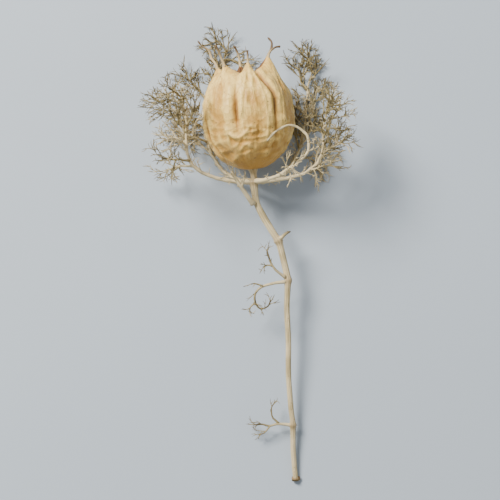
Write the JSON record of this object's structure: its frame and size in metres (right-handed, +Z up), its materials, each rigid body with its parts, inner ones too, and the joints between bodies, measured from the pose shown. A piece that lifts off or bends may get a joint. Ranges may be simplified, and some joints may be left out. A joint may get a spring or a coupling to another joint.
{
  "type": "nigella seed pod",
  "caption": "Dried love-in-a-mist seed pod as picked: inflated papery capsule with curled styles, nest of thread-like bracts, leaf remnants and cut stem, lying down.",
  "frame": {"origin": "centre of the bounding box, on the surface that the pod lies on", "axes": "+Z up from the surface, +Y along the stem from the cut end towards the capsule's crown, +X to the right of the capsule seen from above"},
  "size_m": [0.0496, 0.1191, 0.026],
  "materials": {
    "capsule_skin": "papery, golden tan, satin, with pale ribs, brown furrows and fine dark specks",
    "style_brown": "dry, matt, pale at the foot and dark brown at the tip",
    "stem_straw": "dry straw, finely ridged along its length",
    "bract_thread": "dry and brittle, pale cream main threads and olive-brown twigs",
    "leaf_thread": "dry and brittle, olive-brown"
  },
  "bodies": {
    "root": {"seed_capsule": "capsule_skin", "stem": "stem_straw", "style_1": "style_brown", "style_2": "style_brown", "style_3": "style_brown", "style_4": "style_brown", "style_5": "style_brown", "style_6": "style_brown", "bract_left": "bract_thread", "bract_right": "bract_thread", "bract_front": "bract_thread", "bract_under_left": "bract_thread", "bract_under_right": "bract_thread", "leaf_top": "leaf_thread", "leaf_stub": "leaf_thread", "leaf_upper": "leaf_thread", "leaf_curled": "leaf_thread", "leaf_lower": "leaf_thread"}
  },
  "joints": []
}
